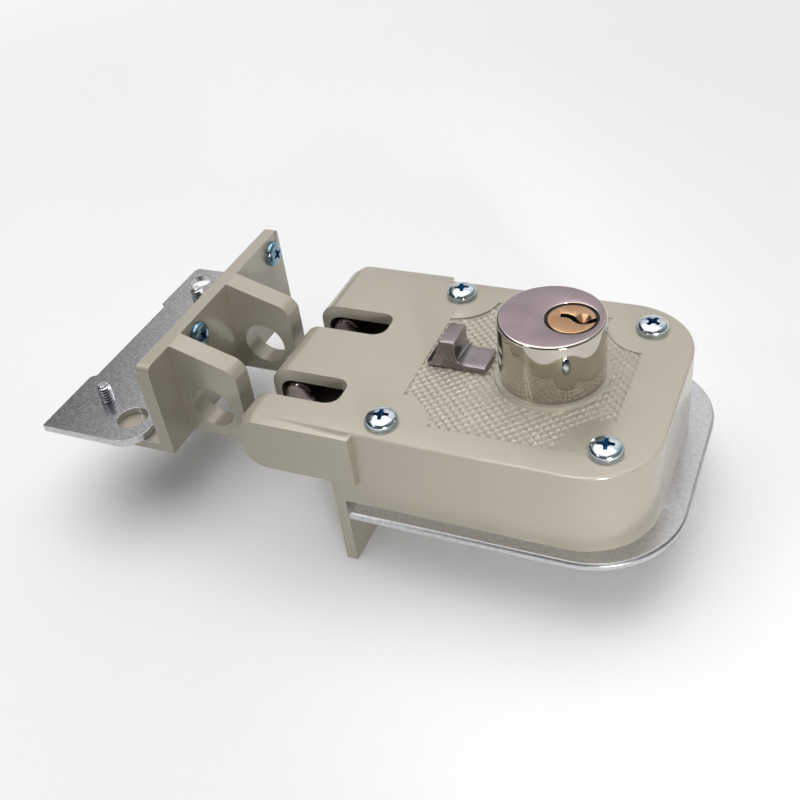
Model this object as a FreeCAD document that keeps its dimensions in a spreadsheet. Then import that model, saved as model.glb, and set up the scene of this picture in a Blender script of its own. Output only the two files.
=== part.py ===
import FreeCAD, Part
import Sketcher
import math
import os

# Interlocking rim lock with a key cylinder inside, a thumb slide and a separate two-eared strike.
# Origin on the cylinder axis, in the door face under the mounting plate.
# +X runs from the nose to the rear, +Y up along the door edge, +Z out of the door face.
# Heights in the table are counted from the top of the mounting plate, where the case sits.

doc = FreeCAD.newDocument("rim_lock")
Vector = FreeCAD.Vector

table = {
    # case
    "caseHeight": 26.0,
    "caseSkin": 0.9,
    "caseRear": 34.7,
    "caseCorner": 20.7,
    "caseEdge": 0.7,
    "wall": 3.0,
    "frontRise": 20.0,
    "shoulder": 45.5,
    "frontFace": 53.0,
    "legBack": 49.7,
    "legDrop": 24.5,
    # nose
    "lugBack": 44.0,
    "lugInset": 1.3,
    "lugSwell": 2.2,
    "lugCrown": 0.35,
    "lugStep": 1.6,
    "lugUnder": 1.0,
    "lugRake": 0.3,
    "lugTighter": 0.8,
    "noseFront": 80.3,
    "noseFloor": 8.2,
    "noseRound": 6.0,
    "noseUnder": 8.0,
    "cavityFront": 78.1,
    "cavityRoof": 22.0,
    "cavityFloor": 10.6,
    "cavityRoom": 0.6,
    "cavityBack": 46.0,
    "cavityRound": 4.5,
    "cavityUnder": 3.0,
    "slotWidth": 11.2,
    "slotCentre": 22.5,
    "slotPitch": 33.2,
    "slotOver": 10.0,
    "slotEnd": 53.8,
    "slotCorner": 4.0,
    # knurled panel
    "panelDepth": 0.5,
    "panelLeft": 37.0,
    "panelRight": 21.3,
    "panelHalf": 29.8,
    "panelFrontX": 25.7,
    "panelFrontY": 18.9,
    "panelRearX": 9.5,
    "panelRearY": 15.1,
    "panelFrontArc": 12.5,
    "panelRearArc": 12.0,
    # case screws and their bosses
    "screwFrontX": 38.1,
    "screwFrontY": 31.4,
    "screwRearX": 21.5,
    "screwRearY": 27.0,
    "screwRadius": 2.4,
    "screwHead": 4.7,
    "screwHeadHeight": 3.0,
    "screwDome": 1.2,
    "bossRadius": 4.5,
    "bossHole": 2.7,
    # mounting plate
    "plateThick": 2.1,
    "plateFront": 46.8,
    "plateRear": 41.4,
    "plateNear": 42.8,
    "plateFar": 46.4,
    "plateCorner": 26.0,
    "tailHole": 8.0,
    "tailScrewY": 15.0,
    "tailScrewHole": 3.0,
    "woodFrontX": 38.0,
    "woodRearX": 26.0,
    "woodY": 18.0,
    "woodHole": 2.4,
    "woodSink": 4.2,
    "plateEdge": 0.6,
    # key cylinder
    "ringRadius": 15.9,
    "ringHeight": 1.2,
    "housingRadius": 14.7,
    "housingEdge": 0.9,
    "neckRadius": 13.6,
    "neckBottom": 20.6,
    "nutRadius": 17.0,
    "runFit": 0.05,
    "plugOffset": 5.5,
    "plugRadius": 6.5,
    "plugSink": 0.4,
    "plugBottom": 18.6,
    "faceRadius": 7.25,
    "faceDepth": 0.7,
    "chamberRadius": 1.6,
    "chamberFoot": 0.5,
    "chamberHead": 1.6,
    "chamberPitch": 3.3,
    "chamberSlack": 0.05,
    "pinGap": 0.15,
    "springWire": 0.34,
    "springTurns": 3.0,
    "pinRadius": 1.5,
    "pinLength": 3.4,
    "driverLength": 4.4,
    "stopLength": 1.3,
    "stopSink": 0.4,
    "clipBottom": 19.6,
    "clipThick": 0.9,
    "clipInner": 5.9,
    "clipOuter": 7.9,
    "keyWidth": 1.3,
    "keyDepth": 22.0,
    "keyNearX": 3.0,
    "keyNearY": 0.9,
    "keyBendX": 0.8,
    "keyMiddleX": 2.2,
    "keyMiddleY": 0.7,
    "keyTurnX": 4.3,
    "keyFarX": 7.0,
    "keyStep": 0.5,
    "plugEdge": 0.35,
    "tapDepth": 0.8,
    # cam
    "camThick": 2.2,
    "camHub": 6.4,
    "camEnd": 3.6,
    "crank": 11.5,
    "travel": 15.0,
    "tailBoss": 3.4,
    "tailBottom": 8.0,
    "tailSlot": 2.0,
    "tailLength": 5.4,
    "camScrewRing": 4.9,
    "camScrewRadius": 0.9,
    "camScrewHead": 1.3,
    "crankPin": 2.5,
    "crankShank": 2.0,
    "crankBottom": 12.3,
    "camScrewRise": 0.9,
    "camTaper": 0.8,
    # bolt carriage
    "webBottom": 12.8,
    "webThick": 3.0,
    "spineFront": 53.0,
    "spineBack": 43.4,
    "spineNear": 3.5,
    "webStepX": 26.0,
    "webStepY": 10.0,
    "webHalf": 20.0,
    "webRear": 14.5,
    "tongueEnd": 1.2,
    "tongueHalf": 6.0,
    "yokeDeep": 9.2,
    "yokeOpen": 5.0,
    "armSlope": 5.5,
    "armNotch": 12.0,
    "armThick": 3.0,
    "armNear": 0.8,
    "armTop": 20.2,
    "armBottom": 11.6,
    "armRound": 4.3,
    "boltRadius": 5.0,
    "boltX": 72.6,
    "boltZ": 15.9,
    "boltTip": 16.9,
    "boltChamfer": 0.7,
    "boltShank": 3.0,
    "guideRadius": 2.5,
    "guideRearX": 20.0,
    "guideRearY": 14.0,
    "guideFrontX": 48.0,
    "guideFrontY": 8.0,
    "guideSlack": 0.1,
    "guideTap": 1.3,
    "guideTapDepth": 6.0,
    "guideHead": 2.4,
    "guideHeadRise": 1.1,
    "guideShank": 1.25,
    "guideShankLong": 5.5,
    "washerRadius": 4.2,
    "washerThick": 0.8,
    "washerGap": 0.2,
    "yokeSlack": 0.35,
    # thumb slide
    "slideNose": 35.4,
    "slideTail": 17.9,
    "slideHalf": 4.9,
    "slideGap": 0.1,
    "slideBase": 1.7,
    "slideTop": 9.1,
    "slideThrow": 5.0,
    "slideHeel": 11.8,
    "slideFlank": 9.1,
    "slideCrown": 8.9,
    "slideBrow": 4.3,
    "slideThroat": 2.7,
    "slideToe": 0.9,
    "slideHeelRound": 2.9,
    "slideToeRound": 2.3,
    "slideTap": 3.5,
    "neckHalfX": 2.6,
    "neckHalfY": 2.6,
    "neckX": 27.0,
    "slideScrew": 1.5,
    "lockTop": 22.9,
    "lockThick": 2.5,
    "lockHalf": 4.6,
    "lockFront": 9.0,
    "lockRear": 5.0,
    "lockNotch": 0.8,
    "lockClick": 2.8,
    "slideScrewHead": 1.4,
    "detentLeaf": 0.4,
    "detentHigh": 2.9,
    "detentX": 22.5,
    "detentRoom": 3.6,
    "detentPad": 2.5,
    "detentTap": 0.95,
    "detentLift": 0.06,
    "detentTail": 7.0,
    "rivetRadius": 0.9,
    "rivetHead": 1.4,
    "rivetRise": 0.7,
    "rivetLong": 4.0,
    "fingerX": 31.0,
    "fingerHalf": 1.5,
    "fingerBottom": 11.5,
    # strike
    "strikeFace": 106.4,
    "strikeThick": 4.4,
    "strikeFoot": 4.0,
    "strikeTop": 36.1,
    "strikeNear": 38.5,
    "strikeFar": 40.2,
    "strikeNearBend": 2.5,
    "strikeFarBend": 1.0,
    "strikeLap": 1.0,
    "earShift": 1.3,
    "earThick": 6.6,
    "earLength": 20.5,
    "earDrop": 9.4,
    "earShoulder": 5.6,
    "earNib": 3.4,
    "earRound": 5.2,
    "earToe": 1.0,
    "earHoleX": 9.4,
    "earHoleZ": 14.9,
    "earHole": 7.0,
    "footThick": 3.0,
    "footReach": 38.0,
    "steelThick": 2.4,
    "steelLeft": 44.3,
    "steelRight": 9.4,
    "steelNear": 43.3,
    "steelFar": 49.0,
    "steelNotch": 1.7,
    "steelNotchNear": 16.9,
    "steelNotchFar": 23.6,
    "steelSlope": 1.4,
    "steelClip": 1.0,
    "steelCorner": 8.0,
    "studX": 30.8,
    "studNearY": 27.0,
    "studFarY": 28.9,
    "studRadius": 2.1,
    "studRise": 6.5,
    "studHeadRadius": 4.1,
    "studRoom": 0.1,
    "studHead": 1.6,
    "studTip": 0.5,
    "jambHoleNearX": 17.8,
    "jambHoleNearY": 32.5,
    "jambHoleNear": 4.7,
    "jambHoleFarX": 38.3,
    "jambHoleFarY": 41.6,
    "jambHoleFar": 3.8,
    "faceScrewZ": 30.4,
    "faceScrewNearY": 13.2,
    "faceScrewFarY": 34.1,
    "faceScrewHead": 4.1,
    "faceScrewHeight": 2.4,
    "faceScrewShank": 2.2,
    "faceScrewDome": 1.0,
}


class Size:
    def __init__(self, value, text):
        self.value = float(value)
        self.text = text

    def __add__(self, other):
        other = size(other)
        return Size(self.value + other.value, "(%s + %s)" % (self.text, other.text))

    def __sub__(self, other):
        other = size(other)
        return Size(self.value - other.value, "(%s - %s)" % (self.text, other.text))

    def __mul__(self, other):
        other = size(other)
        return Size(self.value * other.value, "(%s * %s)" % (self.text, other.text))

    def __truediv__(self, other):
        other = size(other)
        return Size(self.value / other.value, "(%s / %s)" % (self.text, other.text))

    def __radd__(self, other):
        return size(other) + self

    def __rsub__(self, other):
        return size(other) - self

    def __rmul__(self, other):
        return size(other) * self

    def __neg__(self):
        return Size(-self.value, "(0 - %s)" % self.text)


def size(number):
    if isinstance(number, Size):
        return number
    return Size(number, "(%s)" % repr(float(number)))


def root(number):
    return Size(math.sqrt(number.value), "sqrt(%s)" % number.text)


sheet = doc.addObject("Spreadsheet::Sheet", "sizes")
row = 0
for word, number in table.items():
    row += 1
    sheet.set("A%d" % row, word)
    sheet.set("B%d" % row, str(number))
    sheet.setAlias("B%d" % row, word)
doc.recompute()


class Sizes:
    pass


s = Sizes()
for word, number in table.items():
    setattr(s, word, Size(number, "sizes." + word))


# building blocks


def bind(thing, path, number):
    number = size(number)
    thing.setExpression(path, number.text)


def newBody(label):
    body = doc.addObject("PartDesign::Body", label)
    body.Label = label
    if "AllowCompound" in body.PropertiesList:
        body.AllowCompound = True
    return body


def sketchOn(body, name, role, rise=0):
    sketch = body.newObject("Sketcher::SketchObject", body.Label + "_" + name)
    for feature in body.Origin.OriginFeatures:
        if feature.Role == role:
            sketch.AttachmentSupport = [(feature, "")]
    sketch.MapMode = "FlatFace"
    rise = size(rise)
    sketch.AttachmentOffset = FreeCAD.Placement(Vector(0, 0, rise.value), FreeCAD.Rotation())
    bind(sketch, "AttachmentOffset.Base.z", rise)
    return sketch


def pin(sketch, kind, places, number):
    number = size(number)
    index = sketch.addConstraint(Sketcher.Constraint(kind, *places, number.value))
    sketch.setExpression("Constraints[%d]" % index, number.text)


def disc(sketch, x, y, radius):
    x, y, radius = size(x), size(y), size(radius)
    circle = Part.Circle(Vector(x.value, y.value, 0), Vector(0, 0, 1), radius.value)
    index = sketch.addGeometry(circle, False)
    pin(sketch, "Radius", (index,), radius)
    pin(sketch, "DistanceX", (-1, 1, index, 3), x)
    pin(sketch, "DistanceY", (-1, 1, index, 3), y)


def arcBetween(a, b, radius, turn):
    middle = (a + b) * 0.5
    along = b - a
    half = along.Length / 2
    side = Vector(-along.y, along.x, 0)
    side.normalize()
    rise = math.sqrt(max(radius * radius - half * half, 0.0))
    centre = middle + side * (rise * turn)
    circle = Part.Circle(centre, Vector(0, 0, 1), radius)
    start = math.atan2(a.y - centre.y, a.x - centre.x)
    finish = math.atan2(b.y - centre.y, b.x - centre.x)
    if turn > 0:
        return Part.ArcOfCircle(circle, start, finish)
    return Part.ArcOfCircle(circle, finish, start)


def loop(sketch, corners, bends=None):
    bends = bends or {}
    count = len(corners)
    spots = [(size(x), size(y)) for x, y in corners]
    places = [Vector(x.value, y.value, 0) for x, y in spots]
    ends = []
    for i in range(count):
        a, b = places[i], places[(i + 1) % count]
        if i in bends:
            radius, turn = bends[i]
            radius = size(radius)
            index = sketch.addGeometry(arcBetween(a, b, radius.value, turn), False)
            ends.append((index, 1, 2) if turn > 0 else (index, 2, 1))
        else:
            index = sketch.addGeometry(Part.LineSegment(a, b), False)
            ends.append((index, 1, 2))
    for i in range(count):
        here, after = ends[i], ends[(i + 1) % count]
        sketch.addConstraint(Sketcher.Constraint("Coincident", here[0], here[2], after[0], after[1]))
    for i in range(count):
        index, first, last = ends[i]
        pin(sketch, "DistanceX", (-1, 1, index, first), spots[i][0])
        pin(sketch, "DistanceY", (-1, 1, index, first), spots[i][1])
        if i in bends:
            pin(sketch, "Radius", (index,), bends[i][0])


def rectangle(sketch, left, right, low, high):
    loop(sketch, [(left, low), (right, low), (right, high), (left, high)])


def pad(body, sketch, length, reverse=False, middle=False):
    feature = body.newObject("PartDesign::Pad", sketch.Name + "_pad")
    feature.Profile = sketch
    length = size(length)
    feature.Length = length.value
    bind(feature, "Length", length)
    feature.Reversed = reverse
    if middle:
        feature.SideType = "Symmetric"
    sketch.Visibility = False
    doc.recompute()
    return feature


def pocket(body, sketch, length, reverse=False, middle=False):
    before = body.Shape.Volume
    feature = body.newObject("PartDesign::Pocket", sketch.Name + "_cut")
    feature.Profile = sketch
    length = size(length)
    feature.Length = length.value
    bind(feature, "Length", length)
    feature.Reversed = reverse
    if middle:
        feature.SideType = "Symmetric"
    sketch.Visibility = False
    doc.recompute()
    if not body.Shape.Volume < before - 0.01:
        raise ValueError("nothing removed by " + feature.Name)
    return feature


def edgesWhere(shape, test):
    return ["Edge%d" % (i + 1) for i, edge in enumerate(shape.Edges) if test(edge)]


def dress(body, kind, test, radius):
    base = body.Tip
    names = edgesWhere(base.Shape, test)
    if not names:
        raise ValueError("no edge found on " + body.Label)
    feature = body.newObject("PartDesign::" + kind, body.Label + "_" + kind.lower())
    feature.Base = (base, names)
    radius = size(radius)
    if kind == "Fillet":
        feature.Radius = radius.value
        bind(feature, "Radius", radius)
    else:
        feature.Size = radius.value
        bind(feature, "Size", radius)
    doc.recompute()
    return feature


def flatAt(edge, level):
    box = edge.BoundBox
    return abs(box.ZMin - level) < 1e-4 and abs(box.ZMax - level) < 1e-4


bodies = []

top = s.caseHeight
armFar = s.armNear + s.slotPitch
cavityHalf = armFar + s.armThick + s.cavityRoom
caseHalf = cavityHalf + s.caseSkin
lugCore = caseHalf - s.lugInset
lugHalf = caseHalf + s.lugSwell
inner = caseHalf - s.wall
roof = s.caseHeight - s.wall
screwSpots = [
    (-s.screwFrontX, s.screwFrontY),
    (s.screwRearX, s.screwRearY),
    (-s.screwFrontX, -s.screwFrontY),
    (s.screwRearX, -s.screwRearY),
]
slotCentres = [-s.slotCentre, s.slotPitch - s.slotCentre]
guideSpots = [(-s.guideRearX, -s.guideRearY), (-s.guideFrontX, s.guideFrontY)]
cavityTop = s.cavityRoof


# Case
case = newBody("case")
bodies.append(case)
bend = s.caseCorner
sk = sketchOn(case, "outline", "XY_Plane")
loop(sk, [
    (-s.shoulder, -caseHalf),
    (s.caseRear - bend, -caseHalf),
    (s.caseRear, bend - caseHalf),
    (s.caseRear, caseHalf - bend),
    (s.caseRear - bend, caseHalf),
    (-s.shoulder, caseHalf),
], {1: (bend, 1), 3: (bend, 1)})
pad(case, sk, top)


def alongRim(edge):
    return flatAt(edge, top.value) and edge.BoundBox.XMax > 1 - s.shoulder.value


dress(case, "Fillet", alongRim, s.caseEdge)
sk = sketchOn(case, "front", "XY_Plane")
rectangle(sk, -s.frontFace, 1 - s.shoulder, -caseHalf, caseHalf)
pad(case, sk, s.frontRise)
sk = sketchOn(case, "lug", "XZ_Plane")
loop(sk, [
    (-s.lugBack, top),
    (s.noseRound - s.noseFront, top),
    (-s.noseFront, top - s.noseRound),
    (-s.noseFront, s.noseFloor + s.noseUnder),
    (s.noseUnder - s.noseFront, s.noseFloor),
    (-s.lugBack, s.noseFloor),
], {1: (s.noseRound, 1), 3: (s.noseUnder, 1)})
pad(case, sk, 2 * lugCore, middle=True)
for side in (1, -1):
    root_section = sketchOn(case, "lug_root", "XZ_Plane", side * lugCore)
    loop(root_section, [
        (-s.lugBack, top),
        (s.noseRound - s.noseFront, top),
        (-s.noseFront, top - s.noseRound),
        (-s.noseFront, s.noseFloor + s.noseUnder),
        (s.noseUnder - s.noseFront, s.noseFloor),
        (-s.lugBack, s.noseFloor),
    ], {1: (s.noseRound, 1), 3: (s.noseUnder, 1)})
    face_section = sketchOn(case, "lug_face", "XZ_Plane", side * lugHalf)
    faceTop = top - s.lugCrown
    faceFront = s.lugStep - s.noseFront
    faceFloor = s.noseFloor + s.lugUnder
    faceBack = 0 - s.lugBack - s.lugRake
    upper = s.noseRound - s.lugTighter
    lower = s.noseUnder - s.lugTighter
    loop(face_section, [
        (faceBack, faceTop),
        (faceFront + upper, faceTop),
        (faceFront, faceTop - upper),
        (faceFront, faceFloor + lower),
        (faceFront + lower, faceFloor),
        (faceBack, faceFloor),
    ], {1: (upper, 1), 3: (lower, 1)})
    loft = case.newObject("PartDesign::AdditiveLoft", "case_lug_side")
    loft.Profile = root_section
    loft.Sections = [face_section]
    loft.Ruled = True
    doc.recompute()
sk = sketchOn(case, "leg", "XY_Plane")
rectangle(sk, -s.frontFace, -s.legBack, -caseHalf, caseHalf)
pad(case, sk, s.legDrop, reverse=True)
sk = sketchOn(case, "interior", "XY_Plane")
inside = bend - s.wall
loop(sk, [
    (-s.legBack, -inner),
    (s.caseRear - bend, -inner),
    (s.caseRear - s.wall, bend - caseHalf),
    (s.caseRear - s.wall, caseHalf - bend),
    (s.caseRear - bend, inner),
    (-s.legBack, inner),
], {1: (inside, 1), 3: (inside, 1)})
pocket(case, sk, roof, reverse=True)
sk = sketchOn(case, "cavity", "XZ_Plane")
loop(sk, [
    (-s.cavityBack, cavityTop),
    (s.cavityRound - s.cavityFront, cavityTop),
    (-s.cavityFront, cavityTop - s.cavityRound),
    (-s.cavityFront, s.cavityFloor + s.cavityUnder),
    (s.cavityUnder - s.cavityFront, s.cavityFloor),
    (-s.cavityBack, s.cavityFloor),
], {1: (s.cavityRound, 1), 3: (s.cavityUnder, 1)})
pocket(case, sk, 2 * cavityHalf, middle=True)
sk = sketchOn(case, "slots", "XY_Plane", top + 1)
for centre in slotCentres:
    low = centre - s.slotWidth / 2
    high = centre + s.slotWidth / 2
    loop(sk, [
        (-s.noseFront - s.slotOver, low),
        (-s.slotEnd - s.slotCorner, low),
        (-s.slotEnd, low + s.slotCorner),
        (-s.slotEnd, high - s.slotCorner),
        (-s.slotEnd - s.slotCorner, high),
        (-s.noseFront - s.slotOver, high),
    ], {1: (s.slotCorner, 1), 3: (s.slotCorner, 1)})
pocket(case, sk, top - s.noseFloor + 2)
sk = sketchOn(case, "panel", "XY_Plane", top)
loop(sk, [
    (-s.panelFrontX, -s.panelHalf),
    (s.panelRearX, -s.panelHalf),
    (s.panelRight, -s.panelRearY),
    (s.panelRight, s.panelRearY),
    (s.panelRearX, s.panelHalf),
    (-s.panelFrontX, s.panelHalf),
    (-s.panelLeft, s.panelFrontY),
    (-s.panelLeft, -s.panelFrontY),
], {1: (s.panelRearArc, -1), 3: (s.panelRearArc, -1), 5: (s.panelFrontArc, -1), 7: (s.panelFrontArc, -1)})
pocket(case, sk, s.panelDepth)
sk = sketchOn(case, "ring", "XY_Plane", top - s.panelDepth)
disc(sk, 0, 0, s.ringRadius)
pad(case, sk, s.panelDepth + s.ringHeight)
sk = sketchOn(case, "neck_hole", "XY_Plane", top + s.ringHeight)
disc(sk, 0, 0, s.neckRadius + s.runFit)
pocket(case, sk, s.wall + s.ringHeight + 1)
sk = sketchOn(case, "slide_slot", "XY_Plane", top)
slotFront = s.neckX + s.neckHalfX + s.slideThrow + 0.3
rectangle(sk, -slotFront, s.neckHalfX + 0.3 - s.neckX, -s.neckHalfY - 0.2, s.neckHalfY + 0.2)
pocket(case, sk, s.wall + 1)
sk = sketchOn(case, "bosses", "XY_Plane")
for x, y in screwSpots:
    disc(sk, x, y, s.bossRadius)
pad(case, sk, roof + 0.5)
sk = sketchOn(case, "screw_holes", "XY_Plane", top)
for x, y in screwSpots:
    disc(sk, x, y, s.bossHole)
pocket(case, sk, top + 1)
washerTop = s.webBottom - s.washerGap
sk = sketchOn(case, "guides", "XY_Plane", washerTop)
for x, y in guideSpots:
    disc(sk, x, y, s.guideRadius)
pad(case, sk, roof - washerTop + 0.5)
sk = sketchOn(case, "guide_taps", "XY_Plane", washerTop)
for x, y in guideSpots:
    disc(sk, x, y, s.guideTap)
pocket(case, sk, s.guideTapDepth, reverse=True)
detentY = s.lockHalf + s.detentRoom
detentX = 0 - s.detentX
lockBottom = s.lockTop - s.lockThick
leafBottom = s.lockTop - s.detentHigh
leafMiddle = s.lockTop - s.detentHigh / 2
sk = sketchOn(case, "detent_boss", "XY_Plane", leafBottom)
rectangle(sk, detentX - s.detentPad, detentX + s.detentPad, detentY, detentY + 2 * s.detentPad)
pad(case, sk, roof - leafBottom + 0.5)
sk = sketchOn(case, "detent_tap", "XZ_Plane", 0 - detentY)
disc(sk, detentX, leafMiddle, s.detentTap)
pocket(case, sk, s.rivetLong)


# Mounting plate
plate = newBody("mounting_plate")
bodies.append(plate)
sk = sketchOn(plate, "outline", "XY_Plane")
turn = s.plateCorner
loop(sk, [
    (-s.plateFront, -s.plateNear),
    (s.plateRear - turn, -s.plateNear),
    (s.plateRear, turn - s.plateNear),
    (s.plateRear, s.plateFar - turn),
    (s.plateRear - turn, s.plateFar),
    (-s.plateFront, s.plateFar),
], {1: (turn, 1), 3: (turn, 1)})
pad(plate, sk, s.plateThick, reverse=True)
sk = sketchOn(plate, "tail_holes", "XY_Plane")
disc(sk, s.plugOffset, 0, s.tailHole)
disc(sk, s.plugOffset, s.tailScrewY, s.tailScrewHole)
disc(sk, s.plugOffset, -s.tailScrewY, s.tailScrewHole)
pocket(plate, sk, s.plateThick + 1)
sk = sketchOn(plate, "screw_taps", "XY_Plane")
for x, y in screwSpots:
    disc(sk, x, y, s.screwRadius + s.runFit)
pocket(plate, sk, s.plateThick + 1)
sk = sketchOn(plate, "wood_holes", "XY_Plane")
woodSpots = [
    (-s.woodFrontX, s.woodY),
    (-s.woodFrontX, -s.woodY),
    (s.woodRearX, s.woodY),
    (s.woodRearX, -s.woodY),
]
for x, y in woodSpots:
    disc(sk, x, y, s.woodHole)
sinks = plate.newObject("PartDesign::Hole", "plate_wood_holes")
sinks.Profile = sk
sinks.DepthType = "ThroughAll"
sinks.Diameter = s.woodHole.value * 2
bind(sinks, "Diameter", s.woodHole * 2)
sinks.HoleCutType = "Countersink"
sinks.HoleCutCustomValues = True
sinks.HoleCutDiameter = s.woodSink.value * 2
bind(sinks, "HoleCutDiameter", s.woodSink * 2)
sinks.HoleCutCountersinkAngle = 90
sk.Visibility = False
doc.recompute()
dress(plate, "Chamfer", lambda edge: flatAt(edge, 0) and edge.BoundBox.DiagonalLength > 30, s.plateEdge)


# Screws that hold the case to the plate
screws = newBody("case_screws")
bodies.append(screws)
sk = sketchOn(screws, "heads", "XY_Plane", top)
for x, y in screwSpots:
    disc(sk, x, y, s.screwHead)
pad(screws, sk, s.screwHeadHeight)
dress(screws, "Chamfer", lambda edge: flatAt(edge, (top + s.screwHeadHeight).value), s.screwDome)
sk = sketchOn(screws, "shanks", "XY_Plane", top)
for x, y in screwSpots:
    disc(sk, x, y, s.screwRadius)
pad(screws, sk, top + s.plateThick - 0.5, reverse=True)


# Key cylinder housing
housing = newBody("cylinder_housing")
bodies.append(housing)
chamberCount = 5
seat = top + s.ringHeight
rowLong = (chamberCount - 1) * s.chamberPitch + 2 * s.chamberRadius
housingHeight = s.chamberFoot + rowLong + s.chamberHead
face = seat + housingHeight
sk = sketchOn(housing, "barrel", "XY_Plane", seat)
disc(sk, 0, 0, s.housingRadius)
pad(housing, sk, housingHeight)
dress(housing, "Chamfer", lambda edge: flatAt(edge, face.value), s.housingEdge)
sk = sketchOn(housing, "neck", "XY_Plane", s.neckBottom)
disc(sk, 0, 0, s.neckRadius)
pad(housing, sk, seat - s.neckBottom + 0.5)
sk = sketchOn(housing, "bore", "XY_Plane", face)
disc(sk, s.plugOffset, 0, s.plugRadius + s.runFit)
pocket(housing, sk, face - s.neckBottom + 1)
sk = sketchOn(housing, "face_recess", "XY_Plane", face)
disc(sk, s.plugOffset, 0, s.faceRadius)
pocket(housing, sk, s.faceDepth)
chamberTop = face - s.chamberHead - s.chamberRadius
chambers = [chamberTop - i * s.chamberPitch for i in range(chamberCount)]
sk = sketchOn(housing, "chambers", "YZ_Plane", 0)
for z in chambers:
    disc(sk, 0, z, s.chamberRadius)
pocket(housing, sk, s.housingRadius + 1)

nut = newBody("cylinder_nut")
bodies.append(nut)
sk = sketchOn(nut, "ring", "XY_Plane", s.neckBottom)
disc(sk, 0, 0, s.nutRadius)
disc(sk, 0, 0, s.neckRadius + s.runFit)
pad(nut, sk, roof - s.neckBottom)
sk = sketchOn(nut, "notches", "XY_Plane", s.neckBottom)
for side in (1, -1):
    rectangle(sk, -1.5, 1.5, side * s.nutRadius - 1.4, side * s.nutRadius + 1.4)
pocket(nut, sk, roof - s.neckBottom + 1, reverse=True)


def pinRow(label, near, length, radius):
    body = newBody(label)
    bodies.append(body)
    sketch = sketchOn(body, "row", "YZ_Plane", near)
    for z in chambers:
        disc(sketch, 0, z, radius)
    pad(body, sketch, length, reverse=True)
    return body


shear = s.plugOffset - s.plugRadius
driverRear = shear - s.pinGap
springFront = driverRear - s.driverLength - 2 * s.chamberSlack
stopFront = s.stopLength + s.stopSink - s.housingRadius
pinRow("key_pins", shear + s.pinLength + s.pinGap + s.chamberSlack, s.pinLength, s.pinRadius - s.chamberSlack)
pinRow("driver_pins", driverRear, s.driverLength, s.pinRadius)
pinRow("chamber_plugs", stopFront, s.stopLength, s.chamberRadius - s.chamberSlack / 2)

coils = []
springLong = springFront - stopFront - 2 * s.springWire
coilRadius = s.pinRadius - s.springWire
for i, z in enumerate(chambers):
    start = springFront - s.springWire
    helix = doc.addObject("Part::Helix", "spring_path_%d" % i)
    bind(helix, "Radius", coilRadius)
    bind(helix, "Height", springLong)
    bind(helix, "Pitch", springLong / s.springTurns)
    helix.Placement = FreeCAD.Placement(Vector(start.value, 0, z.value), FreeCAD.Rotation(Vector(0, 1, 0), -90))
    bind(helix, "Placement.Base.x", start)
    bind(helix, "Placement.Base.z", z)
    wire = doc.addObject("Part::Plane", "spring_wire_%d" % i)
    bind(wire, "Length", s.springWire)
    bind(wire, "Width", s.springWire)
    wire.Placement = FreeCAD.Placement(
        Vector(start.value, 0, (z + coilRadius).value), FreeCAD.Rotation(Vector(1, 0, 0), 90))
    bind(wire, "Placement.Base.x", start - s.springWire / 2)
    bind(wire, "Placement.Base.z", z + coilRadius - s.springWire / 2)
    coil = doc.addObject("Part::Sweep", "spring_coil_%d" % i)
    coil.Sections = [wire]
    coil.Spine = (helix, [])
    coil.Solid = True
    coil.Frenet = True
    coils.append(coil)
springs = doc.addObject("Part::Compound", "driver_springs")
springs.Label = "driver_springs"
springs.Links = coils
doc.recompute()
bodies.append(springs)


# Plug and what turns with it
plug = newBody("plug")
bodies.append(plug)
plugTop = face - s.plugSink
sk = sketchOn(plug, "barrel", "XY_Plane", s.plugBottom)
disc(sk, s.plugOffset, 0, s.plugRadius)
pad(plug, sk, plugTop - s.plugBottom)
dress(plug, "Chamfer", lambda edge: flatAt(edge, plugTop.value), s.plugEdge)
sk = sketchOn(plug, "clip_groove", "XY_Plane", s.clipBottom)
disc(sk, s.plugOffset, 0, s.plugRadius + 1)
disc(sk, s.plugOffset, 0, s.clipInner)
pocket(plug, sk, s.clipThick, reverse=True)
sk = sketchOn(plug, "keyway", "XY_Plane", plugTop)
half = s.keyWidth / 2
axis = s.plugOffset
loop(sk, [
    (axis - s.keyNearX, s.keyNearY - half),
    (axis - s.keyBendX, s.keyNearY - half),
    (axis + s.keyMiddleX, -s.keyMiddleY - half),
    (axis + s.keyTurnX, -s.keyMiddleY - half),
    (axis + s.keyFarX, s.keyMiddleY - half),
    (axis + s.keyFarX, s.keyNearY + half),
    (axis + s.keyTurnX, half - s.keyStep),
    (axis + s.keyMiddleX + s.keyStep, half - s.keyStep),
    (axis + s.keyStep - s.keyBendX, s.keyNearY + half),
    (axis - s.keyNearX, s.keyNearY + half),
])
pocket(plug, sk, s.keyDepth)
sk = sketchOn(plug, "pin_holes", "YZ_Plane", shear + s.pinLength + s.pinGap + s.chamberSlack * 2)
for z in chambers:
    disc(sk, 0, z, s.pinRadius)
pocket(plug, sk, s.pinLength + 1)
sk = sketchOn(plug, "screw_taps", "XY_Plane", s.plugBottom)
for side in (1, -1):
    disc(sk, axis, side * s.camScrewRing, s.camScrewRadius + 0.03)
pocket(plug, sk, s.tapDepth, reverse=True)

clip = newBody("plug_clip")
bodies.append(clip)
sk = sketchOn(clip, "ring", "XY_Plane", s.clipBottom + 0.05)
disc(sk, axis, 0, s.clipOuter)
disc(sk, axis, 0, s.clipInner + 0.03)
pad(clip, sk, s.clipThick - 0.1)
sk = sketchOn(clip, "gap", "XY_Plane", s.clipBottom)
rectangle(sk, axis + 3, axis + s.clipOuter + 1, -2.4, 2.4)
pocket(clip, sk, s.clipThick + 1, reverse=True)

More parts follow.
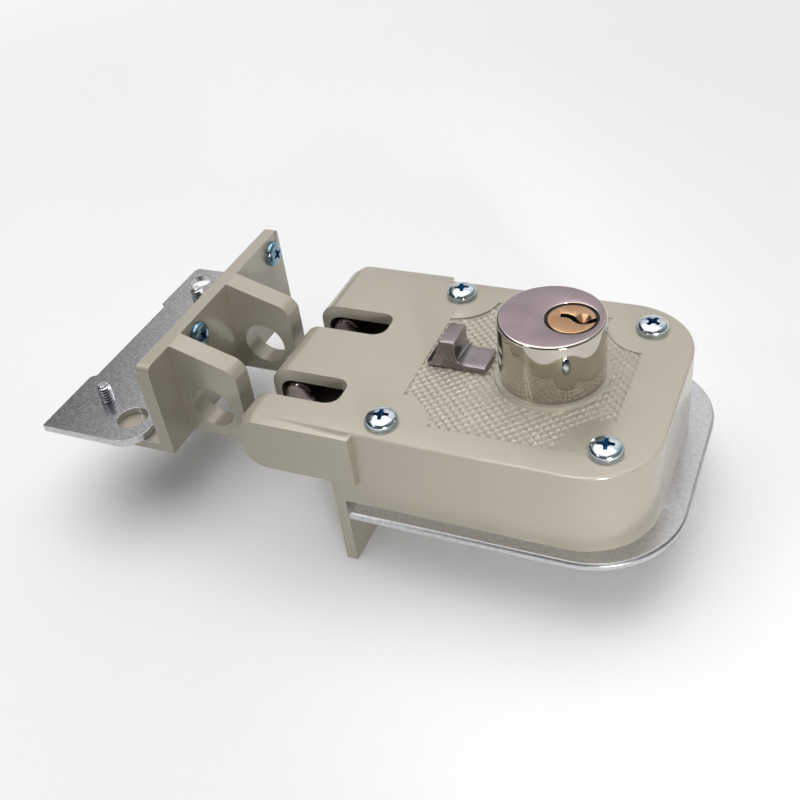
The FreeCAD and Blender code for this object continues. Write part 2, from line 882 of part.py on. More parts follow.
cam = newBody("cam")
bodies.append(cam)
camBottom = s.plugBottom - s.camThick
sweepHalf = s.travel / 2
sweepBack = root(s.crank * s.crank - sweepHalf * sweepHalf)
pinX = axis - sweepBack
pinY = sweepHalf
acrossX = sweepHalf / s.crank
acrossY = sweepBack / s.crank
sk = sketchOn(cam, "hub", "XY_Plane", camBottom)
disc(sk, axis, 0, s.camHub)
pad(cam, sk, s.camThick)
sk = sketchOn(cam, "arm", "XY_Plane", camBottom)
wide = s.camHub * s.camTaper
slim = s.camEnd * 0.95
loop(sk, [
    (axis + acrossX * wide, acrossY * wide),
    (pinX + acrossX * slim, pinY + acrossY * slim),
    (pinX - acrossX * slim, pinY - acrossY * slim),
    (axis - acrossX * wide, 0 - acrossY * wide),
])
pad(cam, sk, s.camThick)
sk = sketchOn(cam, "arm_end", "XY_Plane", camBottom)
disc(sk, pinX, pinY, s.camEnd)
pad(cam, sk, s.camThick)
sk = sketchOn(cam, "tail_boss", "XY_Plane", s.tailBottom)
disc(sk, axis, 0, s.tailBoss)
pad(cam, sk, camBottom - s.tailBottom + 0.5)
sk = sketchOn(cam, "tail_slot", "XY_Plane", s.tailBottom)
rectangle(sk, axis - s.tailSlot / 2, axis + s.tailSlot / 2, 0 - s.tailLength / 2, s.tailLength / 2)
pocket(cam, sk, camBottom - s.tailBottom, reverse=True)
sk = sketchOn(cam, "pin_hole", "XY_Plane", camBottom)
disc(sk, pinX, pinY, s.crankShank + 0.03)
for side in (1, -1):
    disc(sk, axis, side * s.camScrewRing, s.camScrewRadius + 0.1)
pocket(cam, sk, s.camThick + 1, reverse=True)

camScrews = newBody("cam_screws")
bodies.append(camScrews)
sk = sketchOn(camScrews, "heads", "XY_Plane", camBottom)
for side in (1, -1):
    disc(sk, axis, side * s.camScrewRing, s.camScrewHead)
pad(camScrews, sk, s.camScrewRise, reverse=True)
sk = sketchOn(camScrews, "shanks", "XY_Plane", camBottom)
for side in (1, -1):
    disc(sk, axis, side * s.camScrewRing, s.camScrewRadius)
pad(camScrews, sk, s.camThick + s.tapDepth - 0.1)

crankPin = newBody("drive_pin")
bodies.append(crankPin)
sk = sketchOn(crankPin, "body", "XY_Plane", s.crankBottom)
disc(sk, pinX, pinY, s.crankPin)
pad(crankPin, sk, camBottom - s.crankBottom)
sk = sketchOn(crankPin, "shank", "XY_Plane", camBottom)
disc(sk, pinX, pinY, s.crankShank)
pad(crankPin, sk, s.camThick)


# Bolt carriage
carriage = newBody("carriage")
bodies.append(carriage)
sk = sketchOn(carriage, "web", "XY_Plane", s.webBottom)
loop(sk, [
    (-s.spineFront, -s.spineNear),
    (-s.spineBack, -s.spineNear),
    (-s.spineBack, -s.webStepY),
    (-s.webStepX, -s.webStepY),
    (-s.webStepX, -s.webHalf),
    (-s.webRear, -s.webHalf),
    (-s.webRear, pinY - s.tongueHalf),
    (-s.tongueEnd, pinY - s.tongueHalf),
    (-s.tongueEnd, pinY + s.tongueHalf),
    (-s.webRear, pinY + s.tongueHalf),
    (-s.webRear, s.webHalf),
    (-s.spineBack, s.webHalf),
    (-s.spineBack, s.webHalf + s.armNotch),
    (s.armSlope - s.spineFront, armFar + s.armThick),
    (-s.spineFront, armFar + s.armThick),
])
pad(carriage, sk, s.webThick)
sk = sketchOn(carriage, "cuts", "XY_Plane", s.webBottom)
throat = s.crankPin + s.yokeSlack
rectangle(sk, -s.yokeDeep, s.yokeOpen, pinY - throat, pinY + throat)
guideRoom = s.guideRadius + s.guideSlack
for x, y in guideSpots:
    loop(sk, [
        (x + guideRoom, y),
        (x + guideRoom, y + s.travel),
        (x, y + s.travel + guideRoom),
        (x - guideRoom, y + s.travel),
        (x - guideRoom, y),
        (x, y - guideRoom),
    ], {1: (guideRoom, 1), 2: (guideRoom, 1), 4: (guideRoom, 1), 5: (guideRoom, 1)})
gate = s.fingerHalf + 0.4
gateX = s.fingerHalf + 0.9
loop(sk, [
    (gateX - s.fingerX, -gate - 0.8),
    (gateX - s.fingerX, s.travel + gate + 0.8),
    (-gateX - s.fingerX, s.travel + gate + 0.8),
    (-gateX - s.fingerX, s.travel + gate),
    (-gateX - s.fingerX - s.slideThrow + 0.4, s.travel + gate),
    (-gateX - s.fingerX - s.slideThrow + 0.4, s.travel - gate),
    (-gateX - s.fingerX, s.travel - gate),
    (-gateX - s.fingerX, gate),
    (-gateX - s.fingerX - s.slideThrow + 0.4, gate),
    (-gateX - s.fingerX - s.slideThrow + 0.4, -gate),
    (-gateX - s.fingerX, -gate),
    (-gateX - s.fingerX, -gate - 0.8),
])
pocket(carriage, sk, s.webThick + 1, reverse=True)
for near in (s.armNear, armFar):
    sk = sketchOn(carriage, "arm", "XZ_Plane", 0 - near)
    loop(sk, [
        (-s.spineFront + 2, s.armTop),
        (-s.boltX, s.armTop),
        (-s.boltX - s.armRound, s.armTop - s.armRound),
        (-s.boltX, s.armTop - 2 * s.armRound),
        (-s.spineFront + 2, s.armTop - 2 * s.armRound),
    ], {1: (s.armRound, 1), 2: (s.armRound, 1)})
    pad(carriage, sk, s.armThick, reverse=True)
sk = sketchOn(carriage, "bolt_seats", "XZ_Plane", 0)
disc(sk, -s.boltX, s.boltZ, s.boltShank + 0.03)
pocket(carriage, sk, armFar + s.armThick + 1)

bolts = newBody("bolt_pins")
bodies.append(bolts)
for shift in (0, s.slotPitch):
    sk = sketchOn(bolts, "bolt", "XZ_Plane", s.boltTip - shift)
    disc(sk, -s.boltX, s.boltZ, s.boltRadius)
    pad(bolts, sk, s.boltTip + s.armNear, reverse=True)
    sk = sketchOn(bolts, "shank", "XZ_Plane", 0 - s.armNear - shift)
    disc(sk, -s.boltX, s.boltZ, s.boltShank)
    pad(bolts, sk, s.armThick, reverse=True)
tips = [-s.boltTip.value, s.slotPitch.value - s.boltTip.value]


def atTip(edge):
    box = edge.BoundBox
    if abs(box.YMax - box.YMin) > 1e-4:
        return False
    return min(abs(box.YMin - tip) for tip in tips) < 1e-4


dress(bolts, "Chamfer", atTip, s.boltChamfer)

guideScrews = newBody("guide_screws")
bodies.append(guideScrews)
sk = sketchOn(guideScrews, "heads", "XY_Plane", washerTop - s.washerThick)
for x, y in guideSpots:
    disc(sk, x, y, s.guideHead)
pad(guideScrews, sk, s.guideHeadRise, reverse=True)
sk = sketchOn(guideScrews, "shanks", "XY_Plane", washerTop - s.washerThick)
for x, y in guideSpots:
    disc(sk, x, y, s.guideShank)
pad(guideScrews, sk, s.guideShankLong)

washers = newBody("guide_washers")
bodies.append(washers)
sk = sketchOn(washers, "discs", "XY_Plane", washerTop)
for x, y in guideSpots:
    disc(sk, x, y, s.washerRadius)
    disc(sk, x, y, s.guideShank + s.guideSlack)
pad(washers, sk, s.washerThick, reverse=True)


# Thumb slide
slide = newBody("thumb_slide")
bodies.append(slide)
low = top + s.slideGap
deck = low + s.slideBase
crest = low + s.slideTop - s.slideGap
sk = sketchOn(slide, "profile", "XZ_Plane")
loop(sk, [
    (-s.slideNose, low),
    (-s.slideTail, low),
    (-s.slideTail, deck),
    (s.slideHeel - s.slideNose, deck),
    (s.slideFlank - s.slideNose, deck + s.slideHeelRound),
    (s.slideCrown - s.slideNose, crest),
    (s.slideBrow - s.slideNose, crest),
    (s.slideThroat - s.slideNose, deck + s.slideToeRound),
    (s.slideToe - s.slideNose, deck),
    (-s.slideNose, deck),
], {3: (s.slideHeelRound, -1), 7: (s.slideToeRound, -1)})
pad(slide, sk, 2 * s.slideHalf, middle=True)
sk = sketchOn(slide, "neck", "XY_Plane", s.lockTop)
rectangle(sk, -s.neckX - s.neckHalfX, s.neckHalfX - s.neckX, -s.neckHalfY, s.neckHalfY)
pad(slide, sk, low - s.lockTop + 0.5)
sk = sketchOn(slide, "tap", "XY_Plane", s.lockTop)
disc(sk, -s.neckX, 0, s.slideScrew + s.runFit)
pocket(slide, sk, s.slideTap, reverse=True)

lock = newBody("lock_plate")
bodies.append(lock)
notch = s.lockNotch
click = s.neckX + s.lockClick
edge = s.lockHalf
sk = sketchOn(lock, "plate", "XY_Plane", lockBottom)
loop(sk, [
    (-s.neckX - s.lockFront, -edge),
    (s.lockRear - s.neckX, -edge),
    (s.lockRear - s.neckX, edge),
    (notch + s.slideThrow - click, edge),
    (s.slideThrow - click, edge - notch),
    (s.slideThrow - click - notch, edge),
    (notch - click, edge),
    (-click, edge - notch),
    (-click - notch, edge),
    (-s.neckX - s.lockFront, edge),
])
pad(lock, sk, s.lockThick)
sk = sketchOn(lock, "finger", "XY_Plane", s.fingerBottom)
rectangle(sk, -s.fingerX - s.fingerHalf, s.fingerHalf - s.fingerX, -s.fingerHalf, s.fingerHalf)
pad(lock, sk, lockBottom - s.fingerBottom + 0.5)
sk = sketchOn(lock, "hole", "XY_Plane", lockBottom)
disc(sk, -s.neckX, 0, s.slideScrew + 0.1)
pocket(lock, sk, s.lockThick + 1, reverse=True)

slideScrew = newBody("slide_screw")
bodies.append(slideScrew)
sk = sketchOn(slideScrew, "head", "XY_Plane", lockBottom)
disc(sk, -s.neckX, 0, s.slideScrew * 1.5)
pad(slideScrew, sk, s.slideScrewHead, reverse=True)
sk = sketchOn(slideScrew, "shank", "XY_Plane", lockBottom)
disc(sk, -s.neckX, 0, s.slideScrew)
pad(slideScrew, sk, s.lockThick + s.slideTap - 0.5)

# The leaf is drawn lifted, just clear of the lock plate that it clicks into
detent = newBody("detent_spring")
bodies.append(detent)
rub = edge + s.detentLift
leaf = s.detentLeaf
lift = rub + notch
sk = sketchOn(detent, "leaf", "XY_Plane", leafBottom)
loop(sk, [
    (-click - s.detentTail, lift),
    (-click - notch - leaf, lift),
    (-click, rub),
    (notch + leaf - click, lift),
    (detentX - s.detentPad - leaf, detentY - leaf),
    (detentX + s.detentPad, detentY - leaf),
    (detentX + s.detentPad, detentY),
    (detentX - s.detentPad - leaf * 1.5, detentY),
    (notch - click, lift + leaf),
    (-click, rub + leaf * 1.3),
    (-click - notch, lift + leaf),
    (-click - s.detentTail, lift + leaf),
])
pad(detent, sk, s.detentHigh)
sk = sketchOn(detent, "hole", "XZ_Plane", leaf + 1 - detentY)
disc(sk, detentX, leafMiddle, s.detentTap)
pocket(detent, sk, 3 + leaf)

rivet = newBody("detent_rivet")
bodies.append(rivet)
sk = sketchOn(rivet, "head", "XZ_Plane", leaf - detentY)
disc(sk, detentX, leafMiddle, s.rivetHead)
pad(rivet, sk, s.rivetRise)
sk = sketchOn(rivet, "shank", "XZ_Plane", leaf - detentY)
disc(sk, detentX, leafMiddle, s.rivetRadius)
pad(rivet, sk, s.rivetLong, reverse=True)


# Strike
def cast(x):
    return x - s.strikeFace


strike = newBody("strike_casting")
bodies.append(strike)
upright = s.strikeTop - s.strikeFoot
sk = sketchOn(strike, "upright", "YZ_Plane", cast(-s.strikeThick))
loop(sk, [
    (-s.strikeNear, s.strikeFoot),
    (s.strikeFar, s.strikeFoot),
    (s.strikeFar, s.strikeTop - s.strikeFarBend),
    (s.strikeFar - s.strikeFarBend, s.strikeTop),
    (s.strikeNearBend - s.strikeNear, s.strikeTop),
    (-s.strikeNear, s.strikeTop - s.strikeNearBend),
], {2: (s.strikeFarBend, 1), 4: (s.strikeNearBend, 1)})
pad(strike, sk, s.strikeThick)
sk = sketchOn(strike, "foot", "XY_Plane", s.strikeFoot)
rectangle(sk, cast(-s.footReach), cast(-s.strikeLap), -s.strikeNear, s.strikeFar)
pad(strike, sk, s.footThick)
earCentres = [-s.slotCentre - s.earShift, s.slotPitch - s.slotCentre - s.earShift]
for centre in earCentres:
    sk = sketchOn(strike, "ear", "XZ_Plane", 0 - centre - s.earThick / 2)
    loop(sk, [
        (cast(-s.strikeLap), s.strikeFoot),
        (cast(s.earLength - s.earToe), s.strikeFoot),
        (cast(s.earLength), s.strikeFoot + s.earToe),
        (cast(s.earLength), s.strikeTop - s.earDrop),
        (cast(s.earLength - s.earNib), s.strikeTop - s.earShoulder),
        (cast(0), s.strikeTop),
        (cast(-s.strikeLap), s.strikeTop),
    ], {3: (s.earRound, 1)})
    pad(strike, sk, s.earThick)
sk = sketchOn(strike, "ear_holes", "XZ_Plane", 0)
disc(sk, cast(s.earHoleX), s.earHoleZ, s.earHole)
pocket(strike, sk, 100, middle=True)
faceScrewSpots = [(-s.faceScrewNearY, s.faceScrewZ), (s.faceScrewFarY, s.faceScrewZ)]
sk = sketchOn(strike, "face_holes", "YZ_Plane", cast(0))
for y, z in faceScrewSpots:
    disc(sk, y, z, s.faceScrewShank + s.runFit)
pocket(strike, sk, s.strikeThick + 1)
studSpots = [(cast(-s.studX), -s.studNearY), (cast(-s.studX), s.studFarY)]
sk = sketchOn(strike, "stud_holes", "XY_Plane", s.strikeFoot)
for x, y in studSpots:
    disc(sk, x, y, s.studRadius + s.studRoom)
pocket(strike, sk, s.footThick + 1, reverse=True)
sk = sketchOn(strike, "stud_sinks", "XY_Plane", s.strikeFoot)
for x, y in studSpots:
    disc(sk, x, y, s.studHeadRadius + s.studRoom)
pocket(strike, sk, s.studHead, reverse=True)

steel = newBody("strike_plate")
bodies.append(steel)
steelLow = s.strikeFoot + s.footThick
sk = sketchOn(steel, "outline", "XY_Plane", steelLow)
loop(sk, [
    (cast(-s.steelLeft), -s.steelNear),
    (cast(-s.steelRight - s.steelCorner), -s.steelNear),
    (cast(-s.steelRight), s.steelCorner - s.steelNear),
    (cast(-s.steelRight), s.steelFar - s.steelCorner),
    (cast(-s.steelRight - s.steelCorner), s.steelFar),
    (cast(s.steelClip - s.steelLeft), s.steelFar),
    (cast(-s.steelLeft), s.steelFar - s.steelClip),
    (cast(-s.steelLeft), s.steelNotchFar + s.steelSlope),
    (cast(-s.steelLeft + s.steelNotch), s.steelNotchFar),
    (cast(-s.steelLeft + s.steelNotch), -s.steelNotchNear),
    (cast(-s.steelLeft), -s.steelNotchNear - s.steelSlope),
], {1: (s.steelCorner, 1), 3: (s.steelCorner, 1)})
pad(steel, sk, s.steelThick)
sk = sketchOn(steel, "holes", "XY_Plane", steelLow)
for x, y in studSpots:
    disc(sk, x, y, s.studRadius + s.runFit)
disc(sk, cast(-s.jambHoleNearX), -s.jambHoleNearY, s.jambHoleNear)
disc(sk, cast(-s.jambHoleFarX), s.jambHoleFarY, s.jambHoleFar)
pocket(steel, sk, s.steelThick + 1, reverse=True)

faceScrews = newBody("strike_screws")
bodies.append(faceScrews)
sk = sketchOn(faceScrews, "heads", "YZ_Plane", cast(0))
for y, z in faceScrewSpots:
    disc(sk, y, z, s.faceScrewHead)
pad(faceScrews, sk, s.faceScrewHeight)
headFace = cast(s.faceScrewHeight).value


def onHeadFace(edge):
    box = edge.BoundBox
    return abs(box.XMin - headFace) < 1e-4 and abs(box.XMax - headFace) < 1e-4


dress(faceScrews, "Chamfer", onHeadFace, s.faceScrewDome)
sk = sketchOn(faceScrews, "shanks", "YZ_Plane", cast(0))
for y, z in faceScrewSpots:
    disc(sk, y, z, s.faceScrewShank)
pad(faceScrews, sk, s.strikeThick, reverse=True)

studs = newBody("stud_screws")
bodies.append(studs)
sk = sketchOn(studs, "heads", "XY_Plane", s.strikeFoot)
for x, y in studSpots:
    disc(sk, x, y, s.studHeadRadius)
pad(studs, sk, s.studHead)
sk = sketchOn(studs, "shanks", "XY_Plane", s.strikeFoot + 1)
for x, y in studSpots:
    disc(sk, x, y, s.studRadius)
pad(studs, sk, steelLow + s.steelThick + s.studRise - s.strikeFoot - 1)
studTop = (steelLow + s.steelThick + s.studRise).value
dress(studs, "Chamfer", lambda edge: flatAt(edge, studTop), s.studTip)


# The plate lifts everything off the door face
for body in bodies:
    body.Placement = FreeCAD.Placement(Vector(0, 0, s.plateThick.value), FreeCAD.Rotation())
    bind(body, "Placement.Base.z", s.plateThick)


# Checks, then one file for each piece
doc.recompute()
for thing in doc.Objects:
    for flag in thing.State:
        if flag in ("Invalid", "Error"):
            raise ValueError("%s is %s" % (thing.Label, flag))
for body in bodies:
    shape = body.Shape
    if shape.isNull() or not shape.isValid():
        raise ValueError("bad shape in " + body.Label)
os.makedirs("parts", exist_ok=True)
for body in bodies:
    body.Shape.exportStep("parts/%s.step" % body.Label)
    box = body.Shape.BoundBox
    print("%-18s solids %d volume %9.1f  x %.1f..%.1f y %.1f..%.1f z %.1f..%.1f" % (
        body.Label, len(body.Shape.Solids), body.Shape.Volume,
        box.XMin, box.XMax, box.YMin, box.YMax, box.ZMin, box.ZMax))
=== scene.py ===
import math
import bpy
import bmesh
from mathutils import Matrix, Vector


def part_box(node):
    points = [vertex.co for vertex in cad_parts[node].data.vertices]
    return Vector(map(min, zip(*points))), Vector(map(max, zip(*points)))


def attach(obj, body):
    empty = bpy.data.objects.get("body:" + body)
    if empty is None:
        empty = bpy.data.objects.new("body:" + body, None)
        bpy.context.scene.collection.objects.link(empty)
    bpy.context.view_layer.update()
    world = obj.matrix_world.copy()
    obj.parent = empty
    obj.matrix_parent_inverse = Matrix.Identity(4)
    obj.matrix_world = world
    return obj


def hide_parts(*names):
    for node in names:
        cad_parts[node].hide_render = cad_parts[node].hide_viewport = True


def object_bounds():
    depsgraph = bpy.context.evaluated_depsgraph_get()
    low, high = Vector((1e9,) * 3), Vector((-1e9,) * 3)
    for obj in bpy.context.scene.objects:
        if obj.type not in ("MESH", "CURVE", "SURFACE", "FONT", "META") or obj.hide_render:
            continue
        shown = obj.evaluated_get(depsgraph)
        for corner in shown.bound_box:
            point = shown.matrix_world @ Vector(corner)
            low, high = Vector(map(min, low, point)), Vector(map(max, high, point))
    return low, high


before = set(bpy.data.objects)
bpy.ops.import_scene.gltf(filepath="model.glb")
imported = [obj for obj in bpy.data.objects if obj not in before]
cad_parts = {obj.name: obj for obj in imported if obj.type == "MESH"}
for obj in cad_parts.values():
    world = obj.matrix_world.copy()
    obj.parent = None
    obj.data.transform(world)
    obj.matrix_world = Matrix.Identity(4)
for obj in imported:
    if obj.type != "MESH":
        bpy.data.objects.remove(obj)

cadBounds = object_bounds()
mm = 0.001
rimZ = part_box("mounting_plate")[1][2] / mm  # the case sits here, heights below count up from it
touch = 0.01  # heights that lie nearer than this count as one


# Mesh helpers, all in millimetres until a piece is finished

def addObject(name, data):
    made = bpy.data.objects.new(name, data)
    bpy.context.collection.objects.link(made)
    return made


def toMesh(bm, name):
    mesh = bpy.data.meshes.new(name)
    bm.to_mesh(mesh)
    bm.free()
    return mesh


def finishPiece(name, bm, body, looks, sharp, replaces=None):
    bmesh.ops.scale(bm, vec=(mm, mm, mm), verts=bm.verts)
    mesh = toMesh(bm, name)
    mesh.shade_smooth()
    mesh.set_sharp_from_angle(angle=math.radians(sharp))
    for look in looks:
        mesh.materials.append(look)
    piece = addObject(name, mesh)
    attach(piece, body)
    if replaces:
        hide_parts(replaces)
    return piece


def copyOfNode(node):
    bm = bmesh.new()
    bm.from_mesh(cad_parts[node].data)
    bmesh.ops.scale(bm, vec=(1 / mm, 1 / mm, 1 / mm), verts=bm.verts)
    bmesh.ops.remove_doubles(bm, verts=bm.verts, dist=0.002)
    return bm


def arcPoints(centreX, centreZ, radius, start, finish, count):
    turns = [math.radians(start + (finish - start) * i / count) for i in range(count + 1)]
    return [(centreX + radius * math.cos(t), centreZ + radius * math.sin(t)) for t in turns]


def spinProfile(bm, profile, steps, centre=(0, 0)):
    verts = [bm.verts.new((centre[0] + r, centre[1], z)) for r, z in profile]
    edges = [bm.edges.new(pair) for pair in zip(verts, verts[1:])]
    bmesh.ops.spin(bm, geom=verts + edges, cent=(centre[0], centre[1], 0), axis=(0, 0, 1),
                   angle=math.tau, steps=steps, use_merge=True)
    bmesh.ops.remove_doubles(bm, verts=bm.verts, dist=0.0005)
    bmesh.ops.recalc_face_normals(bm, faces=bm.faces)


def extrudeOutline(bm, points, push):
    verts = [bm.verts.new(p) for p in points]
    face = bm.faces.new(verts)
    grown = bmesh.ops.extrude_face_region(bm, geom=[face], use_keep_orig=True)
    moved = [v for v in grown["geom"] if isinstance(v, bmesh.types.BMVert)]
    bmesh.ops.translate(bm, verts=moved, vec=push)
    bmesh.ops.recalc_face_normals(bm, faces=bm.faces)


def boxAt(size, centre):
    bm = bmesh.new()
    bmesh.ops.create_cube(bm, size=1)
    bmesh.ops.scale(bm, vec=size, verts=bm.verts)
    bmesh.ops.translate(bm, verts=bm.verts, vec=centre)
    return bm


def turnAboutZ(bm, degrees):
    bmesh.ops.rotate(bm, verts=bm.verts, cent=(0, 0, 0),
                     matrix=Matrix.Rotation(math.radians(degrees), 3, "Z"))


def roundEdges(bm, edges, radius, segments):
    bmesh.ops.bevel(bm, geom=edges, offset=radius, segments=segments, profile=0.5, affect="EDGES",
                    material=-1)


def mergeInto(whole, part):
    mesh = toMesh(part, "part")
    whole.from_mesh(mesh)
    bpy.data.meshes.remove(mesh)


# Solid cuts are made on a scratch object

def workPiece(bm):
    return addObject("work", toMesh(bm, "work"))


def cutWith(piece, bm):
    cutter = addObject("cutter", toMesh(bm, "cutter"))
    cut = piece.modifiers.new("cut", "BOOLEAN")
    cut.operation = "DIFFERENCE"
    cut.solver = "EXACT"
    cut.object = cutter
    graph = bpy.context.evaluated_depsgraph_get()
    mesh = bpy.data.meshes.new_from_object(piece.evaluated_get(graph))
    piece.modifiers.clear()
    piece.data = mesh
    bpy.data.objects.remove(cutter)


def cutCone(piece, lowRadius, highRadius, depth, centre, segments):
    cone = bmesh.new()
    bmesh.ops.create_cone(cone, cap_ends=True, segments=segments, radius1=lowRadius, radius2=highRadius,
                          depth=depth)
    bmesh.ops.translate(cone, verts=cone.verts, vec=centre)
    cutWith(piece, cone)


def backToBmesh(piece):
    bm = bmesh.new()
    bm.from_mesh(piece.data)
    bpy.data.objects.remove(piece)
    return bm


# Shader groups

def newGroup(name, inputs, output):
    group = bpy.data.node_groups.new(name, "ShaderNodeTree")
    for label, kind, value in inputs:
        made = group.interface.new_socket(name=label, in_out="INPUT", socket_type=kind)
        made.default_value = value
    group.interface.new_socket(name=output, in_out="OUTPUT", socket_type="NodeSocketFloat")
    nodes = group.nodes
    return group, nodes, group.links, nodes.new("NodeGroupInput"), nodes.new("NodeGroupOutput")


def makeGrain():
    inputs = (("Size", "NodeSocketFloat", 800.0), ("Stretch", "NodeSocketVector", (1.0, 1.0, 1.0)))
    group, nodes, links, enter, leave = newGroup("fineGrain", inputs, "Grain")
    place = nodes.new("ShaderNodeTexCoord")
    mapping = nodes.new("ShaderNodeMapping")
    noise = nodes.new("ShaderNodeTexNoise")
    noise.inputs["Detail"].default_value = 4.0
    noise.inputs["Roughness"].default_value = 0.6
    links.new(place.outputs["Object"], mapping.inputs["Vector"])
    links.new(enter.outputs["Stretch"], mapping.inputs["Scale"])
    links.new(mapping.outputs["Vector"], noise.inputs["Vector"])
    links.new(enter.outputs["Size"], noise.inputs["Scale"])
    links.new(noise.outputs["Fac"], leave.inputs["Grain"])
    return group


def makeMottle():
    ends = {"Low": 0.4, "High": 0.6, "From": 0.0, "To": 1.0}
    inputs = [("Size", "NodeSocketFloat", 60.0)]
    inputs += [(label, "NodeSocketFloat", value) for label, value in ends.items()]
    group, nodes, links, enter, leave = newGroup("softMottle", inputs, "Mask")
    place = nodes.new("ShaderNodeTexCoord")
    noise = nodes.new("ShaderNodeTexNoise")
    noise.inputs["Detail"].default_value = 3.0
    spread = nodes.new("ShaderNodeMapRange")
    links.new(place.outputs["Object"], noise.inputs["Vector"])
    links.new(enter.outputs["Size"], noise.inputs["Scale"])
    links.new(noise.outputs["Fac"], spread.inputs["Value"])
    for label, key in zip(ends, ("From Min", "From Max", "To Min", "To Max")):
        links.new(enter.outputs[label], spread.inputs[key])
    links.new(spread.outputs["Result"], leave.inputs["Mask"])
    return group


grainGroup = makeGrain()
mottleGroup = makeMottle()


# Shader helpers

def newLook(name):
    look = bpy.data.materials.new(name)
    look.use_nodes = True
    tree = look.node_tree
    return look, tree.nodes, tree.links, tree.nodes["Principled BSDF"]


def addGroup(nodes, group, **values):
    node = nodes.new("ShaderNodeGroup")
    node.node_tree = group
    for key, value in values.items():
        node.inputs[key].default_value = value
    return node


def addBump(nodes, links, shader, height, depth):
    bump = nodes.new("ShaderNodeBump")
    bump.inputs["Strength"].default_value = 1.0
    bump.inputs["Distance"].default_value = depth
    links.new(height, bump.inputs["Height"])
    links.new(bump.outputs["Normal"], shader.inputs["Normal"])


def blendColours(nodes, links, mask, dark, light):
    mix = nodes.new("ShaderNodeMix")
    mix.data_type = "RGBA"
    mix.inputs["A"].default_value = (*dark, 1)
    mix.inputs["B"].default_value = (*light, 1)
    links.new(mask, mix.inputs["Factor"])
    return mix.outputs["Result"]


def fade(nodes, links, value, ends, curve="LINEAR"):
    node = nodes.new("ShaderNodeMapRange")
    node.interpolation_type = curve
    for key, end in zip(("From Min", "From Max", "To Min", "To Max"), ends):
        node.inputs[key].default_value = end
    links.new(value, node.inputs["Value"])
    return node.outputs["Result"]


def combine(nodes, links, operation, first, second):
    node = nodes.new("ShaderNodeMath")
    node.operation = operation
    links.new(first, node.inputs[0])
    links.new(second, node.inputs[1])
    return node.outputs["Value"]


def paintSurface(nodes, links, shader, colours, mottleSize, roughness, glossSize):
    mottle = addGroup(nodes, mottleGroup, Size=mottleSize)
    links.new(blendColours(nodes, links, mottle.outputs["Mask"], *colours), shader.inputs["Base Color"])
    gloss = addGroup(nodes, mottleGroup, Size=glossSize, From=roughness[0], To=roughness[1])
    links.new(gloss.outputs["Mask"], shader.inputs["Roughness"])


# Materials, with dark and light shade, range of roughness, and bump depth in metres

enamel = {
    "colours": ((0.445, 0.410, 0.331), (0.455, 0.420, 0.341)),
    "mottleSize": 45.0,
    "roughness": (0.25, 0.27),
    "glossSize": 120.0,
    "metallic": 0.22,
    "coat": 0.35,
    "coatRoughness": 0.06,
    "peelSize": 420.0,
    "peelDepth": 0.0000012,
}


def makeEnamel():
    look, nodes, links, shader = newLook("champagneEnamel")
    paintSurface(nodes, links, shader, enamel["colours"], enamel["mottleSize"], enamel["roughness"],
                 enamel["glossSize"])
    shader.inputs["Metallic"].default_value = enamel["metallic"]
    shader.inputs["Coat Weight"].default_value = enamel["coat"]
    shader.inputs["Coat Roughness"].default_value = enamel["coatRoughness"]
    peel = addGroup(nodes, grainGroup, Size=enamel["peelSize"])
    addBump(nodes, links, shader, peel.outputs["Grain"], enamel["peelDepth"])
    return look


